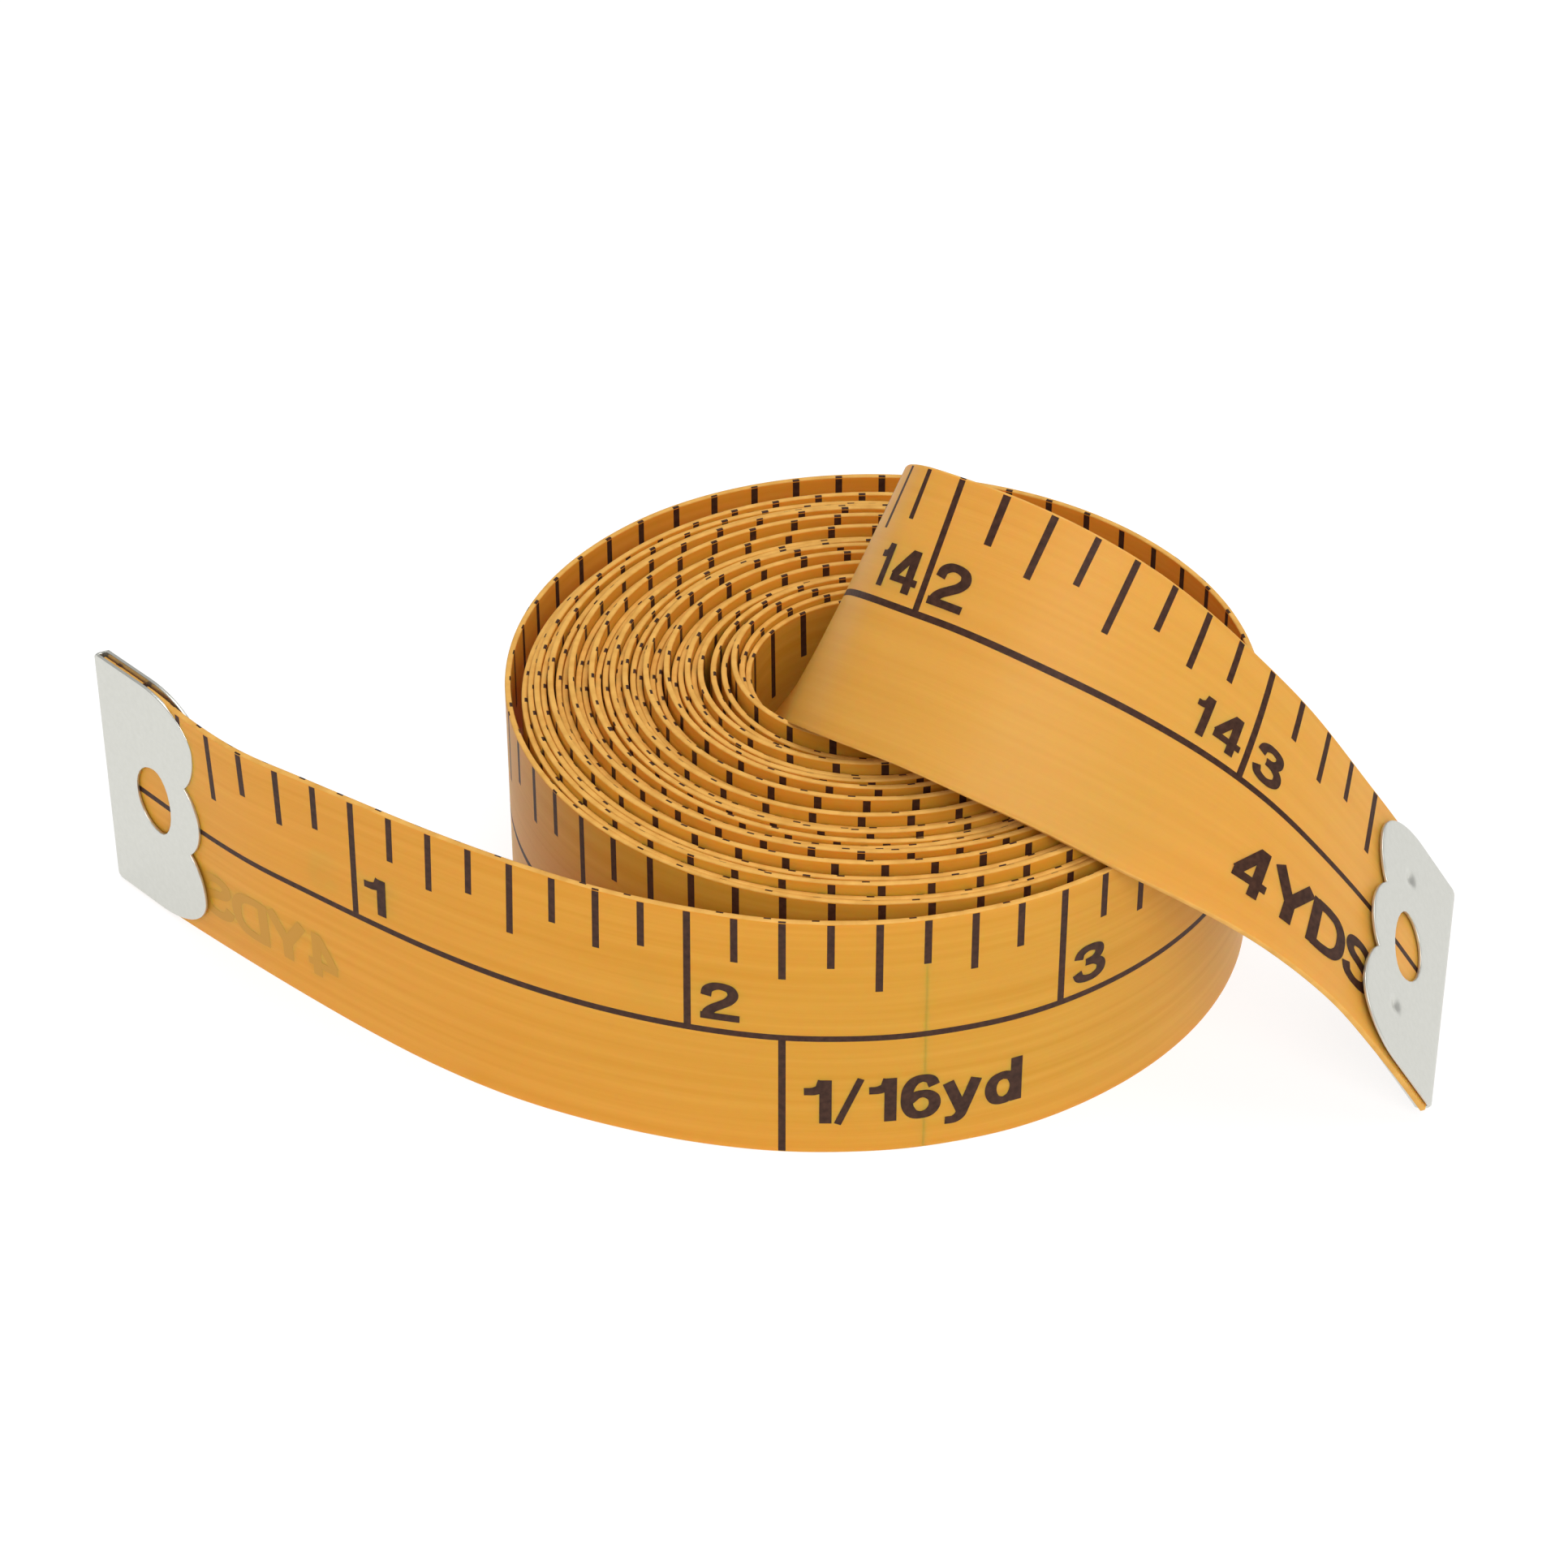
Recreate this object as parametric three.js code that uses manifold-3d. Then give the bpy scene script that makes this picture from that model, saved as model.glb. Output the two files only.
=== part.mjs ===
// Cloth tape measure for sewing, lying on a table: a coated band three quarters of an inch wide,
// loosely wound on its edge, with both of its ends free and a folded metal clip on each.
// Millimetres, +Z up. The coil's middle is set out at X = Y = 0 and the whole is then shifted
// so that the origin is at the middle of the underside. The photograph looks along +Y.

import * as THREE from "three";
import { mergeVertices } from "three/addons/utils/BufferGeometryUtils.js";
import Module from "manifold-3d";

const wasm = await Module();
wasm.setup();

// Driving dimensions of the band
const bandWidth = 19.05;
const bandThickness = 0.42;

// Driving dimensions of the coil. The radii are those of the band's middle line; the wound band
// is thinner than the real one, so that its turns stay clear of each other.
const coilRadius = 26.1;
const eyeRadius = 8.75;
const woundThickness = 0.28;
const turnGap = 0.44;
const flare = 1.3;
const flareTurnsShare = 0.18;

// Driving dimensions of the metal clips, measured along the band from the fold
const sheetThickness = 0.28;
const clipLength = 10.9;
const clipSideLength = 8.2;
const foldCornerRadius = 0.8;
const notchDepth = 1.3;
const notchSpacing = 5.8;
const windowWidth = 5.4;
const windowStart = 3.6;
const windowBelly = 2.2;
const windowCrown = 1.3;

// Fits between pieces that meet
const jointGap = 0.3;
const cutOverrun = 1;

// How finely curves are divided
const stepLength = 1.5;
const stepsPerTurn = 36;
const stepsPerRow = 40;
const stepsPerFold = 6;

// The outer free end, seen from above, from the coil to the fold of its clip,
// as shares of the coil's radius. Its last three points lie in line, inside the clip.
const outerRouteShares = [
  [0.110, -1.036], [-0.020, -1.050], [-0.260, -1.050], [-0.500, -1.004], [-0.727, -0.929],
  [-0.943, -0.825], [-1.153, -0.697], [-1.352, -0.559], [-1.502, -0.456], [-1.651, -0.347],
  [-1.778, -0.219], [-1.924, -0.061], [-2.070, 0.096],
];

// The inner end's way up out of the eye. Each row is a point of the band's middle line,
// across as shares of the eye's radius and up as a share of the band's width,
// and then the direction across the band, from its plain edge to its ticked edge.
const riseRouteShares = [
  [-0.345, -0.939, 0.500, 0, 0, 1],
  [0, -0.985, 0.500, 0, 0, 1],
  [0.215, -0.840, 0.506, 0, 0, 1],
  [0.370, -0.640, 0.528, 0.05, -0.04, 1],
  [0.550, -0.260, 0.575, 0.18, -0.12, 0.97],
  [0.560, 0.150, 0.640, 0.36, -0.14, 0.92],
  [0.380, 0.520, 0.733, 0.52, -0.05, 0.85],
  [0.120, 0.760, 0.850, 0.62, 0.15, 0.77],
  [-0.165, 0.760, 0.997, 0.58, 0.37, 0.72],
  [-0.290, 0.490, 1.155, 0.48, 0.5, 0.72],
  [-0.290, 0.110, 1.297, 0.44, 0.53, 0.72],
  [-0.260, -0.290, 1.430, 0.43, 0.53, 0.73],
];

// The inner free end, over the coil and down to the table, in the same way,
// but across as shares of the coil's radius. Its last three points lie in line, inside the clip.
const archRouteShares = [
  [-0.038, -0.235, 1.530, 0.41, 0.49, 0.77],
  [0.061, -0.333, 1.560, 0.39, 0.49, 0.78],
  [0.202, -0.430, 1.550, 0.4, 0.54, 0.74],
  [0.371, -0.506, 1.490, 0.41, 0.6, 0.69],
  [0.536, -0.556, 1.390, 0.4, 0.7, 0.59],
  [0.686, -0.582, 1.270, 0.37, 0.79, 0.49],
  [0.834, -0.603, 1.130, 0.32, 0.86, 0.4],
  [0.969, -0.616, 0.980, 0.26, 0.91, 0.32],
  [1.093, -0.617, 0.810, 0.21, 0.94, 0.27],
  [1.205, -0.605, 0.620, 0.18, 0.95, 0.25],
  [1.251, -0.597, 0.531, 0.18, 0.95, 0.25],
  [1.360, -0.573, 0.338, 0.18, 0.95, 0.25],
  [1.469, -0.549, 0.145, 0.18, 0.95, 0.25],
];

// Sizes that follow from the driving dimensions
const halfWidth = bandWidth / 2;
const turnCount = Math.floor((coilRadius - eyeRadius) / (woundThickness + turnGap));
const pitch = (coilRadius - eyeRadius) / turnCount;
const clipInside = bandThickness + 2 * jointGap;
const clipOutside = clipInside + 2 * sheetThickness;
const quarterTurn = Math.PI / 2;
const up = new THREE.Vector3(0, 0, 1);

const yellowBand = new THREE.MeshStandardMaterial({ name: "coated_band", color: 0xe8a03c, roughness: 0.42 });
const plainMetal = new THREE.MeshStandardMaterial({
  name: "plated_metal", color: 0xd5d8d4, roughness: 0.34, metalness: 0.85,
});

// A solid band through a row of frames. Each frame has the middle point, the direction across
// the band and the direction through it; its four corners are joined to those of the next.
function bandGeometry(frames, width, thickness) {
  const positions = [];
  for (const { middle, across, through } of frames) {
    for (const [a, t] of [[-1, -1], [1, -1], [1, 1], [-1, 1]]) {
      positions.push(...middle.clone()
        .addScaledVector(across, a * width / 2)
        .addScaledVector(through, t * thickness / 2)
        .toArray());
    }
  }
  const indices = [];
  for (let step = 0; step < frames.length - 1; step++) {
    for (let side = 0; side < 4; side++) {
      const a = 4 * step + side;
      const b = 4 * step + (side + 1) % 4;
      indices.push(a, b, b + 4, a, b + 4, a + 4);
    }
  }
  const last = 4 * (frames.length - 1);
  indices.push(0, 2, 1, 0, 3, 2, last, last + 1, last + 2, last, last + 2, last + 3);
  const geometry = new THREE.BufferGeometry();
  geometry.setAttribute("position", new THREE.Float32BufferAttribute(positions, 3));
  geometry.setIndex(indices);
  return outwardFaces(geometry);
}

// Turns the faces round where the solid's volume comes out negative.
function outwardFaces(geometry) {
  const place = geometry.getAttribute("position");
  const index = geometry.getIndex().array;
  const corner = (i) => new THREE.Vector3().fromBufferAttribute(place, index[i]);
  let volume = 0;
  for (let i = 0; i < index.length; i += 3) {
    volume += corner(i).dot(corner(i + 1).cross(corner(i + 2)));
  }
  if (volume < 0) {
    for (let i = 0; i < index.length; i += 3) {
      const second = index[i + 1];
      index[i + 1] = index[i + 2];
      index[i + 2] = second;
    }
  }
  geometry.computeVertexNormals();
  return geometry;
}

// Radius of the wound band's middle line, counted in turns from its outer end at the front.
function spiralRadius(turns) {
  const opening = Math.max(0, 1 - turns / flareTurnsShare);
  return coilRadius - pitch * turns + flare * opening * opening;
}

function spiralPoint(turns) {
  const angle = turns * 2 * Math.PI - quarterTurn;
  const radius = spiralRadius(turns);
  return new THREE.Vector3(radius * Math.cos(angle), radius * Math.sin(angle), halfWidth);
}

// Frames of the wound band at even angles, so that facets of neighbouring loops are parallel.
function spiralFrames() {
  const frames = [];
  for (let step = 0; step <= turnCount * stepsPerTurn; step++) {
    const middle = spiralPoint(step / stepsPerTurn);
    const through = new THREE.Vector3(middle.x, middle.y, 0).normalize();
    frames.push({ middle, across: up.clone(), through });
  }
  return frames;
}

// A smooth route through chosen points, with a direction across the band at each.
function makeRoute(rows) {
  const points = rows.map((row) => new THREE.Vector3(row[0], row[1], row[2]));
  const path = new THREE.CatmullRomCurve3(points, false, "centripetal");
  const leans = rows.map((row) => new THREE.Vector3(row[3], row[4], row[5]).normalize());
  return { path, leans, spans: rows.length - 1 };
}

function routeFrame(route, t) {
  const middle = route.path.getPoint(t);
  const along = route.path.getTangent(t);
  const across = leanAt(route, t);
  across.addScaledVector(along, -across.dot(along)).normalize();
  const through = new THREE.Vector3().crossVectors(across, along).normalize();
  return { middle, along, across, through };
}

function leanAt(route, t) {
  const place = t * route.spans;
  const row = Math.min(Math.floor(place), route.spans - 1);
  return route.leans[row].clone().lerp(route.leans[row + 1], place - row);
}

// Distances along a route, the share of the route at a distance, and the distance at a row.
function distanceTable(route) {
  const divisions = route.spans * stepsPerRow;
  const lengths = [0];
  let last = route.path.getPoint(0);
  for (let i = 1; i <= divisions; i++) {
    const next = route.path.getPoint(i / divisions);
    lengths.push(lengths[i - 1] + next.distanceTo(last));
    last = next;
  }
  return { lengths, divisions, total: lengths[divisions] };
}

function shareAt(table, distance) {
  const i = Math.min(table.divisions - 1, table.lengths.findIndex((length) => length >= distance) - 1);
  const from = Math.max(i, 0);
  const step = table.lengths[from + 1] - table.lengths[from];
  return (from + (distance - table.lengths[from]) / step) / table.divisions;
}

function distanceAtRow(table, row) {
  return table.lengths[row * stepsPerRow];
}

function framesBetween(route, table, start, end) {
  const steps = Math.ceil((end - start) / stepLength);
  const frames = [];
  for (let i = 0; i <= steps; i++) {
    frames.push(routeFrame(route, shareAt(table, start + (end - start) * i / steps)));
  }
  return frames;
}

// A three.js geometry as a solid for cutting, and back again.
function toSolid(geometry) {
  const bare = new THREE.BufferGeometry();
  bare.setAttribute("position", geometry.getAttribute("position"));
  bare.setIndex(geometry.getIndex());
  const merged = mergeVertices(bare);
  return new wasm.Manifold(new wasm.Mesh({
    numProp: 3,
    vertProperties: new Float32Array(merged.getAttribute("position").array),
    triVerts: new Uint32Array(merged.getIndex().array),
  }));
}

function toGeometry(solid) {
  const mesh = solid.getMesh();
  const geometry = new THREE.BufferGeometry();
  geometry.setAttribute("position", new THREE.BufferAttribute(mesh.vertProperties, 3));
  geometry.setIndex(new THREE.BufferAttribute(mesh.triVerts, 1));
  geometry.computeVertexNormals();
  return geometry;
}

// The clip's outline laid flat: X runs along the band from the fold, Y across it. Square corners
// at the fold, three round lobes with two notches between them, and a D-shaped window.
function clipOutline() {
  const notch = notchSpacing / 2;
  const lobeDepth = clipLength - clipSideLength;
  const lobeMiddle = (halfWidth + notch) / 2;
  const notchFall = Math.acos(1 - notchDepth / lobeDepth);
  const lobeReach = (lobeMiddle - notch) / Math.sin(notchFall);
  const middleRadius = (notch * notch + notchDepth * notchDepth) / (2 * notchDepth);
  const middleFall = Math.asin(notch / middleRadius);
  const outline = new THREE.Shape();
  outline.moveTo(foldCornerRadius, -halfWidth);
  outline.lineTo(clipSideLength, -halfWidth);
  outline.absellipse(clipSideLength, -lobeMiddle, lobeDepth, halfWidth - lobeMiddle, -quarterTurn, 0, false);
  outline.absellipse(clipSideLength, -lobeMiddle, lobeDepth, lobeReach, 0, notchFall, false);
  outline.absarc(clipLength - middleRadius, 0, middleRadius, -middleFall, middleFall, false);
  outline.absellipse(clipSideLength, lobeMiddle, lobeDepth, lobeReach, -notchFall, 0, false);
  outline.absellipse(clipSideLength, lobeMiddle, lobeDepth, halfWidth - lobeMiddle, 0, quarterTurn, false);
  outline.lineTo(foldCornerRadius, halfWidth);
  outline.absarc(foldCornerRadius, halfWidth - foldCornerRadius, foldCornerRadius,
    quarterTurn, 2 * quarterTurn, false);
  outline.absarc(foldCornerRadius, foldCornerRadius - halfWidth, foldCornerRadius,
    2 * quarterTurn, 3 * quarterTurn, false);
  const opening = new THREE.Path();
  const windowMiddle = windowStart + windowBelly;
  opening.absellipse(windowMiddle, 0, windowBelly, windowWidth / 2, quarterTurn, 3 * quarterTurn, false);
  opening.absellipse(windowMiddle, 0, windowCrown, windowWidth / 2, 3 * quarterTurn, 4 * quarterTurn, false);
  opening.absellipse(windowMiddle, 0, windowCrown, windowWidth / 2, 0, quarterTurn, false);
  outline.holes.push(opening);
  return outline;
}

// The folded sheet seen from its edge: two leaves joined by a half-round fold.
function foldSection() {
  const outer = clipOutside / 2;
  const inner = clipInside / 2;
  const section = new THREE.Shape();
  section.moveTo(clipLength + cutOverrun, outer);
  section.lineTo(outer, outer);
  section.absarc(outer, 0, outer, quarterTurn, 3 * quarterTurn, false);
  section.lineTo(clipLength + cutOverrun, -outer);
  section.lineTo(clipLength + cutOverrun, -inner);
  section.lineTo(outer, -inner);
  section.absarc(outer, 0, inner, 3 * quarterTurn, quarterTurn, true);
  section.lineTo(clipLength + cutOverrun, inner);
  return section;
}

// One clip at the origin: its fold at X = 0, the band's width along Y, through the band along Z.
function clipGeometry() {
  const folded = new THREE.ExtrudeGeometry(foldSection(), {
    depth: bandWidth + 2 * cutOverrun, bevelEnabled: false, curveSegments: stepsPerFold,
  });
  folded.rotateX(quarterTurn);
  folded.translate(0, halfWidth + cutOverrun, 0);
  const blank = new THREE.ExtrudeGeometry(clipOutline(), {
    depth: clipOutside + 2 * cutOverrun, bevelEnabled: false, curveSegments: stepsPerFold,
  });
  blank.translate(0, 0, -clipOutside / 2 - cutOverrun);
  return toGeometry(toSolid(folded).intersect(toSolid(blank)));
}

// Places a clip on the end of a route: its fold at the last point, its leaves back along the band.
function placeClip(mesh, frame) {
  const back = frame.along.clone().negate();
  const through = new THREE.Vector3().crossVectors(back, frame.across);
  mesh.quaternion.setFromRotationMatrix(new THREE.Matrix4().makeBasis(back, frame.across, through));
  mesh.position.copy(frame.middle);
  return mesh;
}

// The least distance between one loop's face and the next, measured at points on the facets.
function leastTurnGap(frames) {
  let least = Infinity;
  for (let i = 0; i + stepsPerTurn + 1 < frames.length; i++) {
    const a = frames[i].middle;
    const b = frames[i + 1].middle;
    const inner = frames[i + stepsPerTurn].middle;
    const facet = b.clone().sub(a).normalize();
    const normal = new THREE.Vector3(facet.y, -facet.x, 0);
    least = Math.min(least, Math.abs(inner.clone().sub(a).dot(normal)) - woundThickness);
  }
  return least;
}

// The wound band
const turns = spiralFrames();
const coiledTurns = new THREE.Mesh(bandGeometry(turns, bandWidth, woundThickness), yellowBand);
coiledTurns.name = "coiled_turns";
console.log("least gap between turns, mm:", leastTurnGap(turns).toFixed(3));

// The outer free end, standing on its plain edge
const outerRoute = makeRoute(outerRouteShares.map(([x, y]) =>
  [x * coilRadius, y * coilRadius, halfWidth, 0, 0, 1]));
const outerTable = distanceTable(outerRoute);
const outerStart = distanceAtRow(outerTable, 1);
const outerFreeEnd = new THREE.Mesh(
  bandGeometry(framesBetween(outerRoute, outerTable, outerStart, outerTable.total - clipOutside / 2),
    bandWidth, bandThickness),
  yellowBand,
);
outerFreeEnd.name = "outer_free_end";

// The inner end: a twisted rise out of the eye, then a free arch over the coil
const innerRoute = makeRoute([
  ...riseRouteShares.map(([x, y, z, ...side]) => [x * eyeRadius, y * eyeRadius, z * bandWidth, ...side]),
  ...archRouteShares.map(([x, y, z, ...side]) => [x * coilRadius, y * coilRadius, z * bandWidth, ...side]),
]);
const innerTable = distanceTable(innerRoute);
const riseStart = distanceAtRow(innerTable, 1) + jointGap;
const archStart = distanceAtRow(innerTable, riseRouteShares.length);
const innerRise = new THREE.Mesh(
  bandGeometry(framesBetween(innerRoute, innerTable, riseStart, archStart - jointGap),
    bandWidth, bandThickness),
  yellowBand,
);
innerRise.name = "inner_rise";
const innerFreeEnd = new THREE.Mesh(
  bandGeometry(framesBetween(innerRoute, innerTable, archStart, innerTable.total - clipOutside / 2),
    bandWidth, bandThickness),
  yellowBand,
);
innerFreeEnd.name = "inner_free_end";

// The two clips, alike
const outerEndClip = placeClip(new THREE.Mesh(clipGeometry(), plainMetal), routeFrame(outerRoute, 1));
outerEndClip.name = "outer_end_clip";
const innerEndClip = placeClip(new THREE.Mesh(clipGeometry(), plainMetal), routeFrame(innerRoute, 1));
innerEndClip.name = "inner_end_clip";

const tapeMeasure = new THREE.Group();
tapeMeasure.add(coiledTurns, outerFreeEnd, innerRise, innerFreeEnd, outerEndClip, innerEndClip);

// The origin goes to the middle of the underside.
tapeMeasure.updateMatrixWorld(true);
const box = new THREE.Box3().setFromObject(tapeMeasure, true);
const middle = box.getCenter(new THREE.Vector3());
tapeMeasure.position.set(-middle.x, -middle.y, -box.min.z);
tapeMeasure.updateMatrixWorld(true);
console.log("modelled band, mm:", (innerTable.total + outerTable.total).toFixed(1));

export default tapeMeasure;
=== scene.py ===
import math

import bmesh
import bpy
import numpy as np
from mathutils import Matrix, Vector


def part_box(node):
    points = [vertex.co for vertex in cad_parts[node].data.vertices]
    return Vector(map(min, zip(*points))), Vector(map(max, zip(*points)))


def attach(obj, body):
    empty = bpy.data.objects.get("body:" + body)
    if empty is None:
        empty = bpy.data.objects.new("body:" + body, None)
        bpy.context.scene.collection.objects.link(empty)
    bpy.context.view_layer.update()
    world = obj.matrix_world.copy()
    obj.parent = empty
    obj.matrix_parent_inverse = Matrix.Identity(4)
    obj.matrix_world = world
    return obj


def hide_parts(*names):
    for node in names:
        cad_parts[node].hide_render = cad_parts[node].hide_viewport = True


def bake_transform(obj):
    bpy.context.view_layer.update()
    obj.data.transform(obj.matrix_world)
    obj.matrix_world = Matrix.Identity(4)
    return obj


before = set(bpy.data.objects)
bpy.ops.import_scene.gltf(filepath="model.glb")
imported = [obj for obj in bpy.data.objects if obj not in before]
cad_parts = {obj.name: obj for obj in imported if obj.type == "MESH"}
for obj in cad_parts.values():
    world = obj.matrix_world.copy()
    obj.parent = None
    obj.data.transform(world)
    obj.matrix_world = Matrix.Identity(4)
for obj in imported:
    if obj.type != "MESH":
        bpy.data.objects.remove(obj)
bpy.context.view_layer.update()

# How the band lies. The band is one strip of vinyl-coated cloth, three quarters of an inch wide
# and four yards long. It is wound by hand on its edge, loosely, and its inner end comes up out
# of the eye of the coil and over to the table.
mm = 0.001
inch = 25.4
eighth = inch / 8
band_width = 19.05
band_thickness = 0.4
band_length = 144 * inch
half_width = band_width / 2

# The coil's middle is worked out from the box of its solid, whose thin loops have an even pitch.
coil_radius = 26.1
eye_radius = 8.75
solid_pitch = 0.723
solid_thickness = 0.28
_, coil_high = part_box("coiled_turns")
coil_middle = np.array([
    coil_high.x / mm - (coil_radius - solid_pitch / 4 + solid_thickness / 2),
    coil_high.y / mm - (coil_radius - solid_pitch / 2 + solid_thickness / 2),
    0,
])

# The outer free end seen from above, from the fold of its clip to the coil: each row is a point
# of its middle line, as shares of the coil's radius, and how far it leans there. Then comes the
# loose outermost turn: the share of a turn, and its radius there.
outer_end_rows = [
    (-2.068, 0.104, 0, 0), (-1.921, -0.050, 0, 0), (-1.779, -0.200, -0.025, -0.022),
    (-1.638, -0.332, -0.03, -0.03), (-1.494, -0.443, -0.01, -0.007), (-1.348, -0.553, 0.007, 0.014),
    (-1.149, -0.694, 0.022, 0.035), (-0.942, -0.819, 0.026, 0.045), (-0.724, -0.922, 0.017, 0.034),
    (-0.495, -0.999, 0.008, 0.023), (-0.260, -1.044, 0, 0.008), (-0.020, -1.044, 0, 0),
    (0.099, -1.026, 0, 0),
]
outer_turn = [
    (0.034, 26.6), (0.052, 26.4), (0.071, 26.15), (0.09, 25.9), (0.13, 25.7), (0.18, 25.68),
    (0.25, 25.7), (0.36, 25.68), (0.5, 25.75), (0.6, 26.05), (0.68, 25.9), (0.75, 25.6),
    (0.82, 25.42), (0.9, 25.36), (1.0, 25.33),
]

# The inner end's way up out of the eye, and then over the coil and down to the table. Each row
# is a point, across as shares of the eye's or the coil's radius and up as a share of the band's
# width, and then the direction across the band, from its plain edge to its ticked edge.
rise_shares = [
    (0, -0.985, 0.500, 0, 0, 1), (0.215, -0.840, 0.506, 0, 0, 1),
    (0.370, -0.640, 0.528, 0.05, -0.04, 1), (0.550, -0.260, 0.575, 0.18, -0.12, 0.97),
    (0.560, 0.150, 0.640, 0.36, -0.14, 0.92), (0.380, 0.520, 0.733, 0.52, -0.05, 0.85),
    (0.120, 0.760, 0.850, 0.62, 0.15, 0.77), (-0.165, 0.760, 0.997, 0.58, 0.37, 0.72),
    (-0.290, 0.490, 1.155, 0.48, 0.5, 0.72), (-0.290, 0.110, 1.297, 0.44, 0.53, 0.72),
    (-0.260, -0.290, 1.440, 0.43, 0.52, 0.74),
]
arch_shares = [
    (-0.027, -0.245, 1.545, 0.4, 0.5, 0.77), (0.062, -0.327, 1.566, 0.38, 0.48, 0.79),
    (0.159, -0.397, 1.571, 0.39, 0.5, 0.775), (0.262, -0.455, 1.550, 0.4, 0.54, 0.74),
    (0.369, -0.499, 1.507, 0.41, 0.6, 0.68), (0.528, -0.544, 1.418, 0.4, 0.7, 0.59),
    (0.683, -0.575, 1.302, 0.37, 0.785, 0.5), (0.829, -0.597, 1.168, 0.32, 0.86, 0.4),
    (0.966, -0.611, 1.012, 0.265, 0.91, 0.32), (1.088, -0.616, 0.833, 0.215, 0.94, 0.26),
    (1.197, -0.612, 0.646, 0.19, 0.955, 0.22), (1.262, -0.609, 0.520, 0.187, 0.957, 0.217),
    (1.366, -0.599, 0.298, 0.175, 0.96, 0.215), (1.446, -0.588, 0.120, 0.173, 0.961, 0.214),
]

# How the turns lie against each other. A turn touches the next one or stands a little off it:
# each loose place is a number of turns from outside, how far it spreads, and how loose it is.
turn_count = 33
tight_pitch = 0.42
steps_per_turn = 48
front_of_turn = 0.25
least_looseness = 0.35
loose_places = [
    (5.5, 0.3, 5), (5.05, 0.3, 3), (9.1, 0.3, 2.5), (10.5, 0.3, 1.5), (12.6, 0.3, 2),
    (14.1, 0.35, 1.5), (17.0, 0.3, 4), (19.1, 0.25, 2.5), (22.0, 0.3, 4), (22.5, 0.35, 3),
    (24.1, 0.25, 2.5), (25.1, 0.3, 1.5), (27.75, 0.25, 9), (28.0, 0.25, 3), (28.78, 0.25, 7),
    (29.8, 0.25, 6), (30.6, 0.3, 2.5), (31.05, 0.2, 5),
]


def looseness(turns):
    total = np.full_like(turns, least_looseness)
    for place, spread, amount in loose_places:
        total += amount * np.exp(-((turns - place) / spread) ** 2)
    return total


def ease(share):
    share = np.clip(share, 0, 1)
    return share * share * (3 - 2 * share)


# The turns have slipped up and down a little: within the outermost one they begin to rise, and
# they wave as they go in. Heights are in mm, and the rest is in turns from outside.
level_turns = 0.9
rise_height = 0.82
rise_takes = 4
waves_take = 1.6
swell_length = 2.77
swell_start = 5.2
swell_height = 0.43
half_swell_height = 0.19
ripple_length = 1.62
ripple_start = 0.67
ripple_height = 0.06
settled_turns = 0.1
settling_takes = 0.8


def slipped_up(turns):
    """How far the wound band stands above the table, where its turns have slipped a little."""
    swell = 2 * np.pi * turns / swell_length + swell_start
    ripple = 2 * np.pi * turns / ripple_length + ripple_start
    waves = swell_height * np.cos(swell) + half_swell_height * np.cos(2 * swell)
    waves += ripple_height * np.sin(ripple)
    waves *= ease((turns - level_turns) / waves_take)
    rise_in = rise_height * ease((turns - level_turns) / rise_takes)
    settling = ease((turn_count - settled_turns - turns) / settling_takes)
    return np.maximum(rise_in + waves, 0) * settling


# The turns' slack is greatest on one side of the coil, and the eye is a little out of round.
mean_slack = 1.65
slack_swing = 1.6
slack_turn = 0.05
innermost_radius = 8.85
eye_inwards = (0.23, 0.25)
evening_passes = 3


def wound_points():
    """The wound band's middle line, from just after its outer start to the eye's front."""
    share = np.arange(steps_per_turn) / steps_per_turn
    slack = mean_slack + slack_swing * np.cos(2 * np.pi * (share + slack_turn))
    rows = turn_count - 2
    weights = np.stack([looseness(row + 1 + share) for row in range(rows)])
    gaps = tight_pitch + slack * weights / weights.sum(0)
    round_eye = innermost_radius - eye_inwards[0] * np.cos(2 * np.pi * share)
    round_eye -= eye_inwards[1] * np.sin(2 * np.pi * share)
    radii = [round_eye + (1 - share) * gaps[0, 0]]
    for gap in gaps[::-1]:
        radii.insert(0, radii[0] + gap)
    places, sizes = zip(*outer_turn)
    first_turns = np.arange(places[0], 1, 1 / (2 * steps_per_turn))
    turns = np.concatenate([first_turns, *[row + 1 + share for row in range(len(radii))]])
    radius = np.concatenate([np.interp(first_turns, places, sizes), *radii])
    for _ in range(evening_passes):
        radius[1:-1] = (radius[:-2] + 2 * radius[1:-1] + radius[2:]) / 4
    angle = (turns - front_of_turn) * 2 * np.pi
    height = half_width + slipped_up(turns)
    return np.stack([radius * np.cos(angle), radius * np.sin(angle), height], 1)


def smooth_line(points, parts):
    """A smooth curve through the points, each stretch in the same number of parts."""
    padded = np.concatenate([[2 * points[0] - points[1]], points, [2 * points[-1] - points[-2]]])
    step = np.sqrt(np.linalg.norm(np.diff(padded[:, :3], axis=0), axis=1))
    run = np.concatenate([[0], np.cumsum(step)])
    row = [padded[i:len(padded) - 3 + i, None] for i in range(4)]
    knot = [run[i:len(run) - 3 + i, None, None] for i in range(4)]
    place = knot[1] + (knot[2] - knot[1]) * (np.arange(parts) / parts)[None, :, None]

    def between(low, high, from_knot, to_knot):
        return ((to_knot - place) * low + (place - from_knot) * high) / (to_knot - from_knot)

    pairs = [between(row[i], row[i + 1], knot[i], knot[i + 1]) for i in range(3)]
    triples = [between(pairs[i], pairs[i + 1], knot[i], knot[i + 2]) for i in range(2)]
    line = between(triples[0], triples[1], knot[1], knot[2])
    return np.concatenate([line.reshape(-1, points.shape[1]), points[-1:]])


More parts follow.
